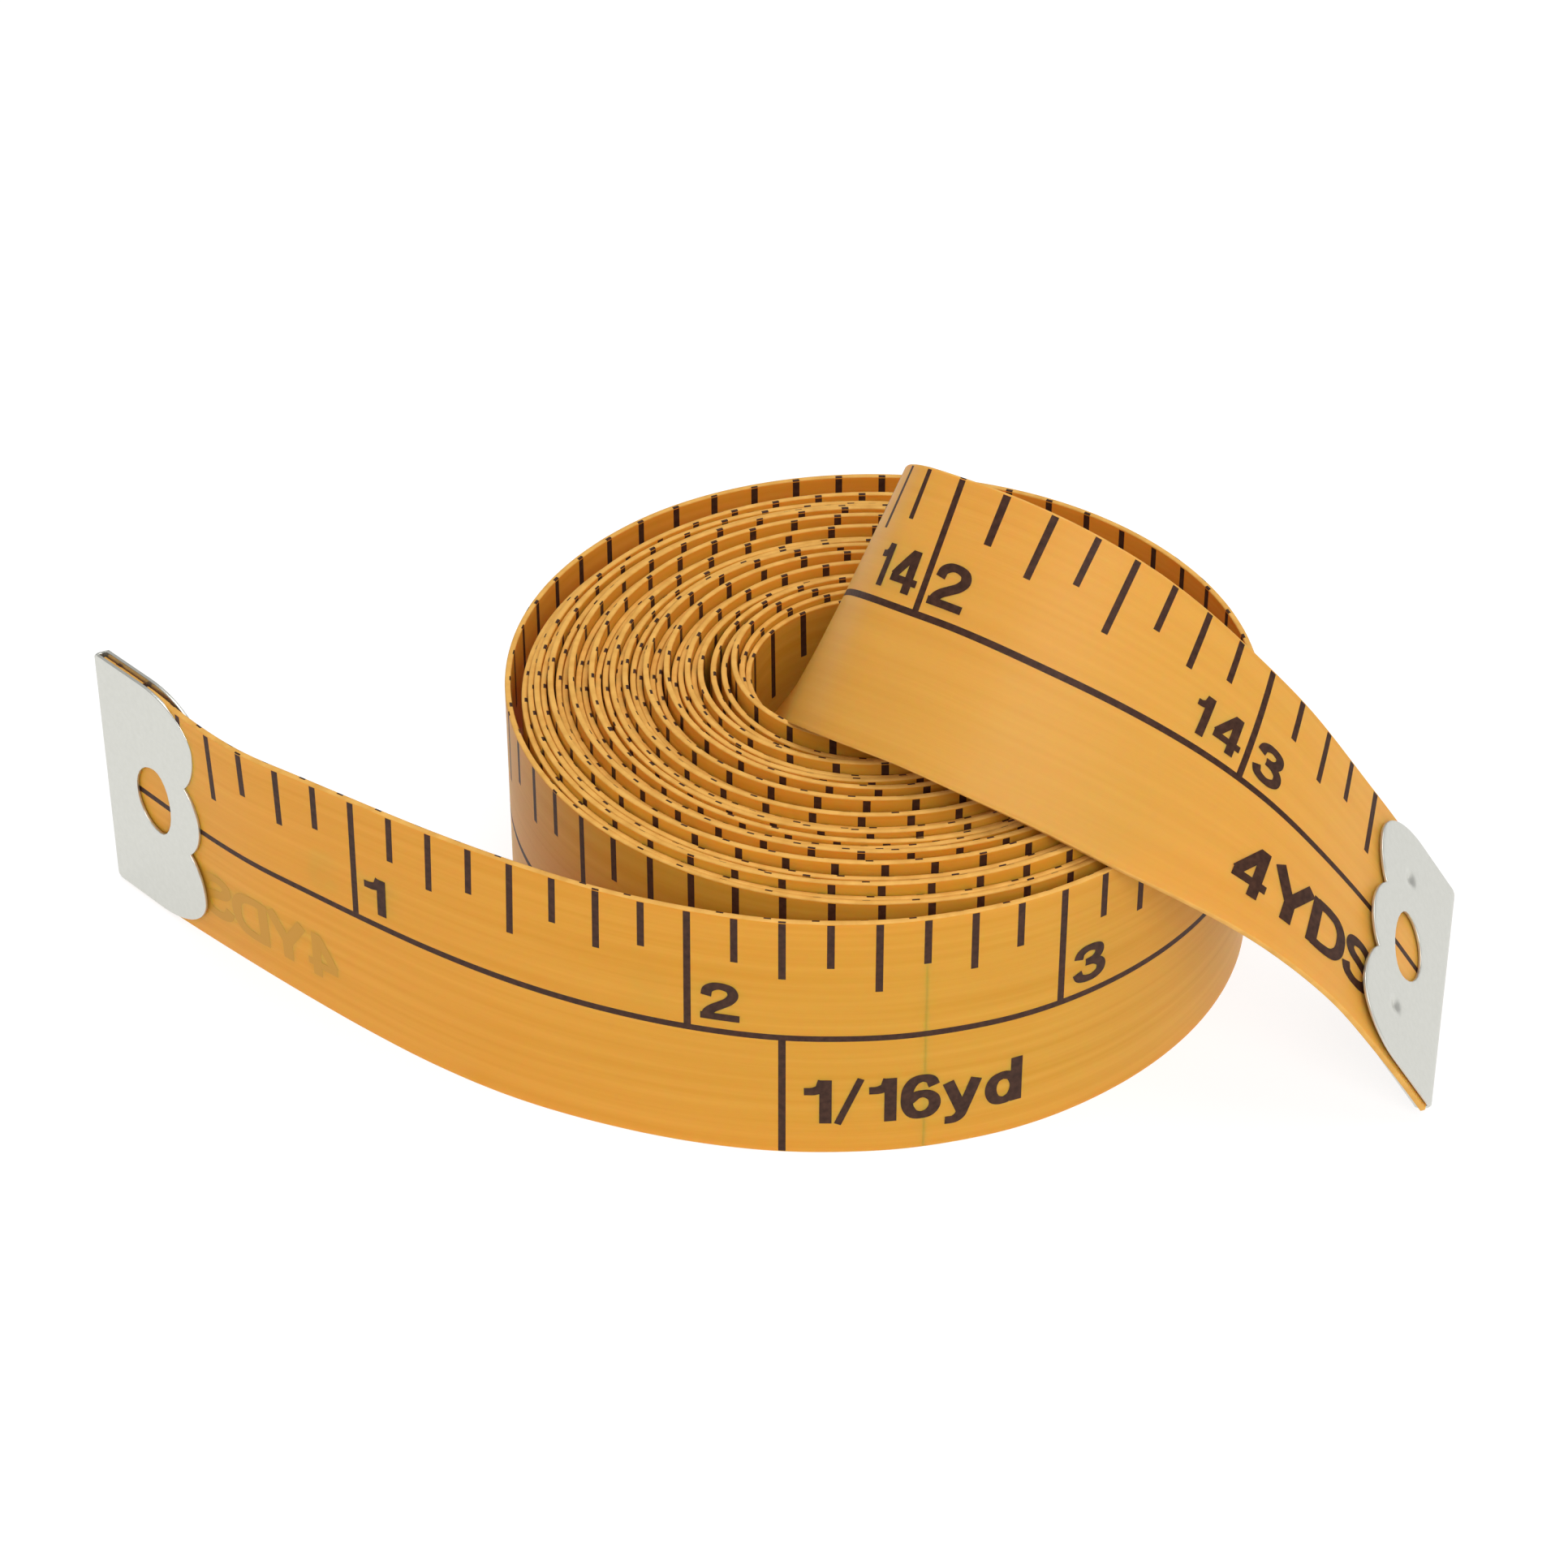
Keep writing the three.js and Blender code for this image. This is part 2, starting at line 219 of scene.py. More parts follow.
wound = wound_points()
rise = np.array(rise_shares) * [eye_radius, eye_radius, band_width, 1, 1, 1]
arch = np.array(arch_shares) * [coil_radius, coil_radius, band_width, 1, 1, 1]
upright_rows = [
    (x * coil_radius, y * coil_radius, half_width, lean_x, lean_y, 1)
    for x, y, lean_x, lean_y in outer_end_rows
]
upright_rows += [(x, y, z, 0, 0, 1) for x, y, z in wound]
route_parts = 6
band_line = smooth_line(np.concatenate([upright_rows, rise, arch]), route_parts)
line_steps = np.linalg.norm(np.diff(band_line[:, :3], axis=0), axis=1)
line_distance = np.concatenate([[0], np.cumsum(line_steps)])

# The inner clip's fold takes the last of the length, and each end of the band stops short of the
# fold that it lies in.
clip_fold = 0.7
inner_fold = band_length - clip_fold
line_distance *= inner_fold / line_distance[-1]

# The coating has given a little here and there, so the print has crept along the band: how far,
# from which place on, and within what length.
print_creep = [(0.7, 40, 40), (-2.1, 80, 3500), (1.4, 3602, 30)]
for creep, creep_start, creep_length in print_creep:
    line_distance += creep * ease((line_distance - creep_start) / creep_length)


def smoothed(values, reach):
    """Values along the band, each averaged with its neighbours within a reach."""
    kernel = np.exp(-np.linspace(-2, 2, 4 * reach + 1) ** 2)
    kernel /= kernel.sum()
    first, last = values[:1], values[-1:]
    lead = first + (first - values[1:2]) * np.arange(2 * reach, 0, -1)[:, None]
    tail = last + (last - values[-2:-1]) * np.arange(1, 2 * reach + 1)[:, None]
    long = np.concatenate([lead, values, tail])
    return np.stack([np.convolve(long[:, i], kernel, "valid") for i in range(values.shape[1])], 1)


even_step = 0.25
smoothing_reach = 6
even_places = np.arange(0, inner_fold + even_step / 2, even_step)
even_rows = np.stack([np.interp(even_places, line_distance, band_line[:, i]) for i in range(6)], 1)
even_rows = smoothed(even_rows, smoothing_reach)
even_rows[:, :3] += coil_middle


def band_frames(places):
    """Middle point, direction along, across and out of the printed face, at places in mm."""
    middle = np.stack([np.interp(places, even_places, even_rows[:, i]) for i in range(3)], 1)
    across = np.stack([np.interp(places, even_places, even_rows[:, i]) for i in range(3, 6)], 1)
    slopes = np.gradient(even_rows[:, :3], axis=0)
    along = np.stack([np.interp(places, even_places, slopes[:, i]) for i in range(3)], 1)
    along /= np.linalg.norm(along, axis=1)[:, None]
    across -= (across * along).sum(1)[:, None] * along
    across /= np.linalg.norm(across, axis=1)[:, None]
    return middle, along, across, np.cross(along, across)


# The arch's face bows a little across the band, most at one place short of the inner end.
bow_height = 1.2
bow_from_end = 29.6
bow_reach = 9


def crowned(places, widths):
    """How far a bow across the arch's face lifts the band there, out of its printed face."""
    bow = bow_height * np.exp(-((places - band_length + bow_from_end) / bow_reach) ** 2)
    return bow * (1 / 3 - (widths / half_width) ** 2)


# The band's print. A thin brown line runs along the middle of both faces, and ticks an eighth of
# an inch apart run down to it from one edge; the print of the back is set a little to one side.
tick_width = 0.5
tick_start = 0.14
eighth_tick = 3.63
quarter_tick = 4.62
half_tick = 5.58
centre_line = 9.17
centre_line_width = 0.47
yard_mark = 2.25 * inch
back_shift = 1.0
edge_round = 0.09
rim = 0.32
half_thickness = band_thickness / 2

# The band's section: the places across its face where its mesh is divided, by the print's edges
# and between them, and then the points round its top edge.
below_line = (-6.2, -3.1)
above_line = 1.9
above_ticks = 7.7
face_places = [
    edge_round - half_width, rim - half_width, *below_line,
    half_width - centre_line - centre_line_width, half_width - centre_line, above_line,
    half_width - half_tick, half_width - quarter_tick, half_width - eighth_tick, above_ticks,
    half_width - tick_start, half_width - edge_round,
]
corner = edge_round * (1 - math.sqrt(0.5))
top_edge = [
    (half_width - corner, half_thickness - corner), (half_width, half_thickness - edge_round),
    (half_width, 0), (half_width, edge_round - half_thickness),
    (half_width - corner, corner - half_thickness),
]
profile = [(place, half_thickness) for place in face_places] + top_edge
profile += [(place, -half_thickness) for place in face_places[::-1]]
profile += [(-place, through) for place, through in top_edge[::-1]]
profile = np.array(profile)
ahead = np.roll(profile, -1, 0) - profile
ahead /= np.linalg.norm(ahead, axis=1)[:, None]
ahead = ahead + np.roll(ahead, 1, 0)
profile_facing = np.stack([-ahead[:, 1], ahead[:, 0]], 1)
profile_facing /= np.linalg.norm(profile_facing, axis=1)[:, None]
face_cells = len(face_places) - 1
edge_cells = len(top_edge) + 1
back_start = face_cells + edge_cells
least_step = 0.1

# Some ticks have run over the band's edge: the share of them, of the front and of the back, and
# how many fewer reach the middle of the edge.
front_spilled = 0.12
back_spilled = 0.9
fewer_at_middle = 0.3
coating_kind, ink_kind, cut_kind = range(3)


def band_places(start, end):
    """Steps along the band: the edges of each tick of both faces, one between, and both ends,
    with none too close to an end."""
    first = math.floor(start / eighth) - 1
    last = math.ceil(end / eighth) + 1
    edges = [side * tick_width / 2 - shift for shift in (back_shift, 0) for side in (-1, 1)]
    edges.append((eighth - back_shift) / 2)
    places = (np.arange(first, last + 1)[:, None] * eighth + edges).ravel()
    places = np.sort(places)
    places = places[(places > start + least_step) & (places < end - least_step)]
    return np.concatenate([[start], places, [end]])


def chances(numbers, seed):
    """For each number a chance from 0 to 1 that looks random and is always the same."""
    stride, offset, spread = 12.9898, 78.233, 43758.5453
    return np.modf(np.abs(np.sin(numbers * stride + offset * seed)) * spread)[0]


def inked_cells(places):
    """True where a cell of the band's mesh is inked: rows along the band, columns round it."""
    middle = (places[:-1] + places[1:]) / 2
    inked = np.zeros((len(middle), len(profile)), bool)
    front = list(range(face_cells))
    back = [back_start + face_cells - 1 - cell for cell in front]
    front_edge = list(range(face_cells, face_cells + edge_cells // 2))[::-1]
    back_edge = list(range(face_cells + edge_cells // 2, back_start))
    depth = half_width - (np.array(face_places[:-1]) + np.array(face_places[1:])) / 2
    tick_lengths = ((1, eighth_tick), (2, quarter_tick), (4, half_tick), (8, centre_line))
    sides = [
        (0, yard_mark, front, front_edge, front_spilled),
        (-back_shift, band_length - yard_mark, back, back_edge, back_spilled),
    ]
    for shift, mark, cells, edge, share_spilled in sides:
        number = np.round((middle - shift) / eighth).astype(int)
        on_tick = np.abs(middle - shift - number * eighth) < tick_width / 2
        at_mark = on_tick & (np.abs(middle - shift - mark) < tick_width)
        for cell, deep in zip(cells, depth):
            for every, length in tick_lengths:
                if tick_start < deep < length:
                    inked[:, cell] |= on_tick & (number % every == 0)
            if centre_line < deep < centre_line + centre_line_width:
                inked[:, cell] = True
            if deep > centre_line:
                inked[at_mark, cell] = True
        chance = chances(number, share_spilled)
        for count, cell in enumerate(edge):
            inked[:, cell] |= on_tick & (chance < share_spilled - fewer_at_middle * (count == 0))
    return inked


def band_mesh(name, start, end):
    """The band from one place to another: a closed strip with rounded edges and inked cells."""
    places = band_places(start, end)
    middle, along, across, outward = band_frames(places)
    width, through = profile[:, 0], profile[:, 1]
    lift = crowned(places[:, None], width) + through
    points = middle[:, None] + across[:, None] * width[:, None] + outward[:, None] * lift[:, :, None]
    rows, columns = points.shape[:2]
    index = np.arange(rows * columns).reshape(rows, columns)
    turned = np.roll(index, -1, 1)
    cells = np.stack([index[:-1], index[1:], turned[1:], turned[:-1]], 2).reshape(-1, 4)
    faces = cells.tolist() + [index[0].tolist(), index[-1][::-1].tolist()]
    mesh = bpy.data.meshes.new(name)
    mesh.from_pydata((points.reshape(-1, 3) * mm).tolist(), [], faces)
    kinds = np.full((rows - 1, columns), coating_kind)
    kinds[:, face_cells:back_start] = cut_kind
    kinds[:, back_start + face_cells:] = cut_kind
    kinds[inked_cells(places)] = ink_kind
    kinds = np.concatenate([kinds.ravel(), [cut_kind, cut_kind]])
    mesh.polygons.foreach_set("material_index", kinds.astype(np.int32))
    smooth = np.ones(len(faces), bool)
    smooth[-2:] = False
    mesh.polygons.foreach_set("use_smooth", smooth)
    corners = np.zeros(len(mesh.loops), np.int32)
    mesh.loops.foreach_get("vertex_index", corners)
    run = np.stack([places[corners // columns] / inch, width[corners % columns] / inch], 1)
    layer = mesh.uv_layers.new(name="run")
    layer.data.foreach_set("uv", run.astype(np.float32).ravel())
    mesh.update()
    station, point = corners // columns, corners % columns
    half_mm = 0.5
    slope = crowned(places[:, None], width + half_mm) - crowned(places[:, None], width - half_mm)
    slope = slope[station, point][:, None]
    widthways = across[station] + slope * outward[station]
    faceways = outward[station] - slope * across[station]
    facing = widthways * profile_facing[point, :1] + faceways * profile_facing[point, 1:]
    facing[-2 * columns:-columns] = -along[0]
    facing[-columns:] = along[-1]
    mesh.normals_split_custom_set(facing.tolist())
    piece = bpy.data.objects.new(name, mesh)
    bpy.context.collection.objects.link(piece)
    return piece


def new_material(name, **finish):
    """A material whose shader has these finishes, its nodes and the shader."""
    material = bpy.data.materials.new(name)
    material.use_nodes = True
    nodes = material.node_tree.nodes
    shader = nodes["Principled BSDF"]
    for socket, value in finish.items():
        shader.inputs[socket.replace("_", " ")].default_value = value
    return material, nodes, material.node_tree.links, shader


def streaks(nodes, links, along, across, detail):
    """Noise drawn out along the band, for the lines that the coating keeps from its rollers."""
    run = nodes.new("ShaderNodeUVMap")
    run.uv_map = "run"
    stretch = nodes.new("ShaderNodeMapping")
    stretch.inputs["Scale"].default_value = (along, across, 1)
    noise = nodes.new("ShaderNodeTexNoise")
    noise.inputs["Scale"].default_value = 1
    noise.inputs["Detail"].default_value = detail
    links.new(run.outputs["UV"], stretch.inputs["Vector"])
    links.new(stretch.outputs["Vector"], noise.inputs["Vector"])
    return noise


tone_stops = (0.3, 0.7)


def tinted(nodes, links, noise, shader, low, high):
    """Colours the shader between two tones by the noise."""
    tones = nodes.new("ShaderNodeValToRGB")
    for stop, position, tone in zip(tones.color_ramp.elements, tone_stops, (low, high)):
        stop.position = position
        stop.color = (*tone, 1)
    links.new(noise.outputs["Fac"], tones.inputs["Fac"])
    links.new(tones.outputs["Color"], shader.inputs["Base Color"])


def raised(nodes, links, noise, shader, height, strength):
    """Bumps on the surface, a height in mm, from the noise."""
    bump = nodes.new("ShaderNodeBump")
    bump.inputs["Distance"].default_value = height * mm
    bump.inputs["Strength"].default_value = strength
    links.new(noise.outputs["Fac"], bump.inputs["Height"])
    links.new(bump.outputs["Normal"], shader.inputs["Normal"])


# The coating is orange-yellow vinyl, which lets a little light into it and keeps fine lines from
# its rollers. The ink is matt and dark brown, and the band's cut edges show the paler threads.
coating_deep = (0.638, 0.296, 0.023)
coating_light = (0.706, 0.345, 0.041)
coated, nodes, links, shader = new_material(
    "coated_band", Roughness=0.44, IOR=1.48, Specular_IOR_Level=0.18, Subsurface_Weight=0.65,
    Subsurface_Radius=(1, 0.22, 0.05), Subsurface_Scale=0.0012,
)
roller_lines = streaks(nodes, links, along=0.8, across=38, detail=4)
tinted(nodes, links, roller_lines, shader, coating_deep, coating_light)
fine_lines = streaks(nodes, links, along=5, across=180, detail=4)
raised(nodes, links, fine_lines, shader, height=0.02, strength=0.5)

# The inner end of the coating, where it arches over the coil, is painted paler and whiter as a
# painted sheen: from which inch on, by which inch, how much of the paler tone, and the tone.
painted_sheen_from = 140.2
painted_sheen_by = 142.3
painted_sheen_share = 0.4
painted_sheen_tone = (0.69, 0.385, 0.105)
run = nodes.new("ShaderNodeUVMap")
run.uv_map = "run"
inches = nodes.new("ShaderNodeSeparateXYZ")
links.new(run.outputs["UV"], inches.inputs["Vector"])
# The painted sheen: the paler tone mixed into the coating's colour along the arch.
painted_sheen = nodes.new("ShaderNodeMapRange")
painted_sheen.interpolation_type = "SMOOTHSTEP"
painted_sheen.inputs["From Min"].default_value = painted_sheen_from
painted_sheen.inputs["From Max"].default_value = painted_sheen_by
painted_sheen.inputs["To Max"].default_value = painted_sheen_share
links.new(inches.outputs["X"], painted_sheen.inputs["Value"])
sheen_mix = nodes.new("ShaderNodeMixRGB")
sheen_mix.inputs["Color2"].default_value = (*painted_sheen_tone, 1)
links.new(painted_sheen.outputs["Result"], sheen_mix.inputs["Fac"])
links.new(shader.inputs["Base Color"].links[0].from_socket, sheen_mix.inputs["Color1"])
links.new(sheen_mix.outputs["Color"], shader.inputs["Base Color"])

ink_deep = (0.034, 0.012, 0.006)
ink_light = (0.066, 0.026, 0.014)
printed, nodes, links, shader = new_material("band_ink", Roughness=0.55, Specular_IOR_Level=0.2)
blotches = streaks(nodes, links, along=60, across=60, detail=3)
tinted(nodes, links, blotches, shader, ink_deep, ink_light)
pores = streaks(nodes, links, along=90, across=90, detail=2)
raised(nodes, links, pores, shader, height=0.015, strength=0.4)

cut_deep = (0.66, 0.33, 0.06)
cut_light = (0.8, 0.44, 0.1)
cut_edge, nodes, links, shader = new_material(
    "band_cut_edge", Roughness=0.62, IOR=1.45, Specular_IOR_Level=0.3,
)
threads = streaks(nodes, links, along=22, across=50, detail=4)
tinted(nodes, links, threads, shader, cut_deep, cut_light)
fibres = streaks(nodes, links, along=60, across=60, detail=3)
raised(nodes, links, fibres, shader, height=0.03, strength=0.5)

band_finishes = [coated, printed, cut_edge]

# The wound part of the band lies between the two places where its free ends begin.
outer_seam = 21 * eighth
inner_seam = band_length - 19 * eighth
wound_band = band_mesh("wound_band", outer_seam, inner_seam)
for finish in band_finishes:
    wound_band.data.materials.append(finish)
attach(wound_band, "coil")
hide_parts("coiled_turns", "inner_rise")

# The outer free end of the band: the first two and five eighths inches, which spring away from
# the coil and stand on their plain edge. It is the same strip as the wound band.
bend_place = 17.4 * eighth
outer_band_end = band_mesh("outer_band_end", clip_fold, outer_seam)
for finish in band_finishes:
    outer_band_end.data.materials.append(finish)
bend_start, bend_end = band_frames(np.array([outer_seam, bend_place]))[0] * mm
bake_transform(outer_band_end)
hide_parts("outer_free_end")

# The inner free end of the band: the last two and three eighths inches, which arch over the coil
# from its eye and come down to the table beside it. It is the same strip as the wound band.
inner_band_end = band_mesh("inner_band_end", inner_seam, inner_fold - clip_fold)
for finish in band_finishes:
    inner_band_end.data.materials.append(finish)
middle, along, _, outward = band_frames(np.array([inner_seam]))
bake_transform(inner_band_end)
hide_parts("inner_free_end")

# The figures of the scale, printed on the band in the same brown ink. They are bold and plain, and
# stand on the middle line just after the line of their inch; the lower half has the yard words.
# Each figure is how far it reaches, and then the strokes of a broad pen, in shares of its height.
strokes = {
    "1": (0.47, [
        [(0.345, 1), (0.345, 0)],
        [(0.03, 0.735), (0.17, 0.745), (0.27, 0.81), (0.32, 0.98)],
    ]),
    "2": (0.70, [
        [(0.115, 0.63), (0.14, 0.80), (0.24, 0.905), (0.36, 0.92), (0.48, 0.85), (0.515, 0.70),
         (0.45, 0.54), (0.33, 0.41), (0.21, 0.29), (0.14, 0.17), (0.125, 0.07)],
        [(0.03, 0.078), (0.61, 0.078)],
    ]),
    "3": (0.69, [
        [(0.12, 0.68), (0.155, 0.83), (0.26, 0.915), (0.38, 0.91), (0.475, 0.84), (0.48, 0.69),
         (0.40, 0.575), (0.25, 0.54)],
        [(0.25, 0.54), (0.42, 0.50), (0.52, 0.37), (0.51, 0.19), (0.40, 0.085), (0.27, 0.08),
         (0.15, 0.155), (0.105, 0.31)],
    ]),
    "4": (0.70, [
        [(0.45, 1), (0.45, 0)], [(0.02, 0.285), (0.64, 0.285)], [(0.42, 0.94), (0.07, 0.33)],
    ]),
    "5": (0.70, [
        [(0.14, 0.92), (0.58, 0.92)], [(0.17, 0.95), (0.125, 0.50)],
        [(0.13, 0.51), (0.26, 0.60), (0.40, 0.59), (0.51, 0.48), (0.53, 0.32), (0.46, 0.15),
         (0.33, 0.08), (0.20, 0.10), (0.115, 0.19), (0.10, 0.28)],
    ]),
    "6": (0.63, [
        [(0.52, 0.73), (0.47, 0.87), (0.36, 0.925), (0.23, 0.88), (0.14, 0.72), (0.115, 0.50),
         (0.13, 0.28), (0.21, 0.12), (0.34, 0.078), (0.46, 0.13), (0.53, 0.28), (0.51, 0.45),
         (0.40, 0.555), (0.27, 0.55), (0.155, 0.44)],
    ]),
    "7": (0.66, [
        [(0.04, 0.92), (0.58, 0.92)], [(0.52, 0.93), (0.37, 0.66), (0.27, 0.36), (0.23, 0)],
    ]),
    "8": (0.70, [
        [(0.33, 0.55), (0.20, 0.61), (0.145, 0.73), (0.21, 0.88), (0.33, 0.922), (0.45, 0.88),
         (0.505, 0.73), (0.45, 0.61), (0.33, 0.55)],
        [(0.33, 0.535), (0.17, 0.45), (0.11, 0.29), (0.18, 0.13), (0.33, 0.078), (0.48, 0.13),
         (0.55, 0.29), (0.49, 0.45), (0.33, 0.535)],
    ]),
    "/": (0.48, [[(0.05, -0.02), (0.39, 1.02)]]),
    "y": (0.65, [
        [(0.10, 0.74), (0.31, 0.06)],
        [(0.53, 0.74), (0.34, 0.10), (0.28, -0.07), (0.19, -0.14), (0.06, -0.14)],
    ]),
    "d": (0.68, [
        [(0.505, 1), (0.505, 0)],
        [(0.30, 0.66), (0.18, 0.60), (0.115, 0.46), (0.115, 0.27), (0.18, 0.12), (0.30, 0.07),
         (0.42, 0.13), (0.485, 0.28), (0.485, 0.45), (0.42, 0.60), (0.30, 0.66)],
    ]),
    "Y": (0.68, [
        [(0.09, 1), (0.335, 0.42)], [(0.59, 1), (0.345, 0.42)], [(0.34, 0.50), (0.34, 0)],
    ]),
    "D": (0.76, [
        [(0.16, 1), (0.16, 0)],
        [(0.16, 0.92), (0.36, 0.92), (0.51, 0.86), (0.60, 0.70), (0.62, 0.50), (0.60, 0.30),
         (0.51, 0.14), (0.36, 0.08), (0.16, 0.08)],
    ]),
    "S": (0.72, [
        [(0.57, 0.69), (0.52, 0.85), (0.40, 0.92), (0.27, 0.92), (0.16, 0.85), (0.14, 0.72),
         (0.21, 0.61), (0.36, 0.545), (0.52, 0.46), (0.58, 0.32), (0.53, 0.15), (0.41, 0.078),
         (0.28, 0.078), (0.16, 0.15), (0.11, 0.31)],
    ]),
}


# The pen is broader in its upright strokes than in its level ones, in shares of the height. It
# grows with a figure that is drawn wider, and is thin in the slash. The ink stands a hair proud.
upright_pen = 0.228
level_pen = 0.165
plain_pen_share = 0.58
pen_share_gain = 0.33
slash_pen_share = 0.6
curve_parts = 5
straight_points = 13
ink_gap = 0.006
ink_height = 0.014
seen_gap = 0.002
seen_height = 0.003


def pen_line(points, widen, pen_share):
    """The two sides of a broad pen's line through the points, drawn wider than they are."""
    points = np.array(points, float) * [widen, 1]
    if len(points) > 2:
        line = smooth_line(points, curve_parts)
    else:
        share = np.linspace(0, 1, straight_points)[:, None]
        line = points[0] + (points[1] - points[0]) * share
    heading = np.gradient(line, axis=0)
    if np.allclose(line[0], line[-1]):
        heading[0] = heading[-1] = heading[0] + heading[-1]
    heading /= np.linalg.norm(heading, axis=1)[:, None]
    wide = level_pen + (upright_pen - level_pen) * np.abs(heading[:, 1])
    sideways = np.stack([-heading[:, 1], heading[:, 0]], 1) * wide[:, None] * pen_share / 2
    return line + sideways, line - sideways


def print_words(name, prints, seen_through=False):
    """Prints words on the band: each is its figures, their place along the band, height above the
    plain edge, size, how much wider they are drawn, and whether they are on the back. Words that
    are seen through the band lie on the other face."""
    points, faces = [], []
    gap = seen_gap if seen_through else ink_gap
    proud = gap + (seen_height if seen_through else ink_height)
    for words, place, up, height, widen, on_back in prints:
        reach = 0
        for figure in words:
            width, lines = strokes[figure]
            pen_share = slash_pen_share if figure == "/" else plain_pen_share + pen_share_gain * widen
            for line in lines:
                left, right = pen_line(line, widen, pen_share)
                side = np.concatenate([left, right]) + [reach, 0]
                run = side[:, 0] * height
                places = place - run if on_back else place + run
                middle, _, across, outward = band_frames(places)
                lifted = side[:, 1:] * height + up - half_width
                bow = crowned(places, lifted[:, 0])[:, None]
                count = len(left)
                base = len(points)
                for off in (gap, proud):
                    through = half_thickness + off
                    through = -through if on_back != seen_through else through
                    points += (middle + across * lifted + outward * (bow + through)).tolist()
                low = base + np.arange(count)
                high = low + 2 * count
                sides = [(low, low + count), (high + count, high)]
                sides += [(low + count, high + count), (high, low)]
                for near, far in sides:
                    faces += [[near[i], far[i], far[i + 1], near[i + 1]] for i in range(count - 1)]
                for i in (0, count - 1):
                    ring = [low[i], high[i], high[i] + count, low[i] + count]
                    faces.append(ring if i == 0 else ring[::-1])
            reach += width * widen
    mesh = bpy.data.meshes.new(name)
    mesh.from_pydata((np.array(points) * mm).tolist(), [], [[int(i) for i in face] for face in faces])
    mesh.update()
    shape = bmesh.new()
    shape.from_mesh(mesh)
    bmesh.ops.recalc_face_normals(shape, faces=shape.faces)
    shape.to_mesh(mesh)
    shape.free()
    piece = bpy.data.objects.new(name, mesh)
    bpy.context.collection.objects.link(piece)
    return piece


# Inch figures: how high they are and stand, and where each starts from the line of its inch and
# how much wider it is drawn. The line parts a number of three figures.
figure_height = 2.95
line_height = band_width - centre_line
figure_clearance = 0.72
figure_up = line_height + figure_clearance
short_starts = [(0.75, 1.55)]
long_starts = [(-4.85, 1.0), (-3.0, 1.25), (0.42, 1.55)]


def inch_figures(numbers, on_back=False):
    """The figures of whole inches: one stands after its line, and the line parts three of them."""
    rows = []
    for number in numbers:
        words = str(number)
        line = band_length - back_shift - number * inch if on_back else number * inch
        starts = long_starts if len(words) == 3 else short_starts
        for figure, (start, widen) in zip(words, starts):
            place = line - start if on_back else line + start
            rows.append((figure, place, figure_up, figure_height, widen, on_back))
    return rows


# The yard words of the lower half: the length word with its figure and letters, where each starts
# and how much wider it is drawn, and the word by the mark of a sixteenth of a yard.
word_height = 3.66
word_up = 2.55
length_from_end = 23.4
length_letters = [("4", 0, 1.2), ("Y", 2.72, 1.66), ("D", 6.12, 1.6), ("S", 9.95, 1.5)]
yard_word_start = 1.32
yard_word_height = 3.65
yard_word_up = 2.54
yard_word_widen = 1.25


def length_word(on_back=False):
    """The tape's length in yards, near the inner end or, on the back, near the outer end."""
    line = length_from_end if on_back else band_length - length_from_end
    rows = []
    for figure, start, widen in length_letters:
        place = line - start if on_back else line + start
        rows.append((figure, place, word_up, word_height, widen, on_back))
    return rows


figure_ink, nodes, links, shader = new_material("figure_ink", Roughness=0.55, Specular_IOR_Level=0.2)
speckle = nodes.new("ShaderNodeTexNoise")
speckle.inputs["Scale"].default_value = 2500
place = nodes.new("ShaderNodeTexCoord")
links.new(place.outputs["Object"], speckle.inputs["Vector"])
tinted(nodes, links, speckle, shader, ink_deep, ink_light)

yard_word_place = yard_mark + yard_word_start
yard_word = ("1/16yd", yard_word_place, yard_word_up, yard_word_height, yard_word_widen, False)
outer_words = inch_figures([1, 2]) + inch_figures([142, 143], on_back=True)
outer_words += length_word(on_back=True) + [yard_word]
outer_figures = print_words("outer_end_figures", outer_words)
outer_figures.data.materials.append(figure_ink)
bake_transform(outer_figures)

wound_words = inch_figures(range(3, 9)) + inch_figures([4, 5], on_back=True)
wound_figures = print_words("wound_figures", wound_words)
wound_figures.data.materials.append(figure_ink)
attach(wound_figures, "coil")

inner_words = inch_figures([142, 143]) + inch_figures([1, 2], on_back=True) + length_word()
inner_figures = print_words("inner_end_figures", inner_words)
inner_figures.data.materials.append(figure_ink)
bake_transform(inner_figures)

# The back's length word as it shows through the outer end. The cloth and its coating let a little
# light through, so the word printed on the back is seen faintly, mirrored, on the front.
faint_tone = (0.575, 0.272, 0.03)
seen_figures = print_words("word_seen_through", length_word(on_back=True), seen_through=True)
faint_print, nodes, links, shader = new_material(
    "faint_print", Roughness=0.44, IOR=1.48, Specular_IOR_Level=0.18, Base_Color=(*faint_tone, 1),
)
seen_figures.data.materials.append(faint_print)
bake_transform(seen_figures)

# The clip of the outer end: one blank of thin plated steel, folded round the end of the band
# and pressed flat. Each leaf has three lobes with notches between them, and a D-shaped window.
sheet_thickness = 0.24
clip_gap = 0.56
clip_length = 10.8
clip_side = 7.75
clip_overhang = 0.05
clip_half_width = half_width + clip_overhang
clip_shift = 0.35
notch_depth = 1.3
notch_half_spacing = 2.83
window_half_width = 2.7
window_start = 3.85
window_belly = 2.3
window_crown = 1.5
lobe_shoulder = 5.5
fold_corner = 0.8
fold_corner_inset = 0.48
edge_bevel = 0.06
lobe_side_points = 14
lobe_tip_points = 7
middle_lobe_points = 15
corner_points = 6
belly_points = 15
crown_points = 13
fold_radius = (clip_gap + sheet_thickness) / 2
fold_outside = fold_radius + sheet_thickness / 2
fold_run = fold_radius * math.pi / 2
clip_run = clip_length - fold_outside + fold_run


